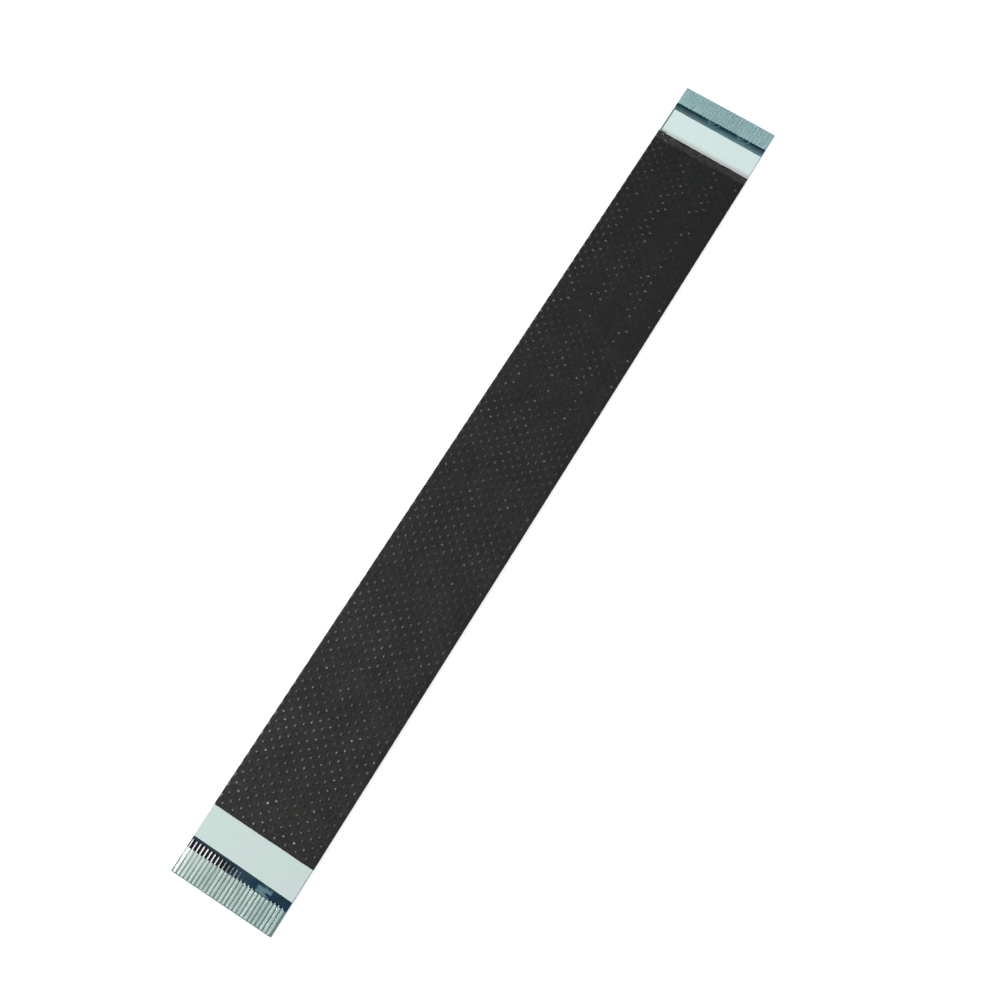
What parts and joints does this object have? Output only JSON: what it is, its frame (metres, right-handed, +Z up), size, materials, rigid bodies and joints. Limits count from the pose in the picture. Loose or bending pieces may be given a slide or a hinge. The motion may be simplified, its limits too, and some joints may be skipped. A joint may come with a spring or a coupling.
{
  "type": "shielded flat flex cable",
  "caption": "Flat flex cable with bare contact tips on stiffeners, dark cover film, white spacer film and a black wrapped shield between the tips.",
  "frame": {"origin": "centre of the cable's footprint, on the surface that it lies on", "axes": "+X across the cable, +Y along it towards the far tip, +Z up, out of the face with the bare contacts"},
  "size_m": [0.0134, 0.1168, 0.0005],
  "materials": {
    "contacts": "satin tin plating over rolled copper",
    "base_film": "clear to teal polyester film, glossy",
    "cover_film": "dark blue polyester film, glossy, ridged over the conductors",
    "spacer_film": "white film with a faint green cast, matte",
    "stiffener": "blue polyester tape, satin",
    "shield": "black embossed shield film, matte ground with small glossy dots"
  },
  "bodies": {
    "root": {"conductor_01": "contacts", "conductor_02": "contacts", "conductor_03": "contacts", "conductor_04": "contacts", "conductor_05": "contacts", "conductor_06": "contacts", "conductor_07": "contacts", "conductor_08": "contacts", "conductor_09": "contacts", "conductor_10": "contacts", "conductor_11": "contacts", "conductor_12": "contacts", "conductor_13": "contacts", "conductor_14": "contacts", "conductor_15": "contacts", "conductor_16": "contacts", "conductor_17": "contacts", "conductor_18": "contacts", "conductor_19": "contacts", "conductor_20": "contacts", "conductor_21": "contacts", "conductor_22": "contacts", "conductor_23": "contacts", "conductor_24": "contacts", "conductor_25": "contacts", "conductor_26": "contacts", "base_film": "base_film", "cover_film": "cover_film", "spacer_film": "spacer_film", "stiffener_near": "stiffener", "stiffener_far": "stiffener", "shield_wrap": "shield"}
  },
  "joints": []
}
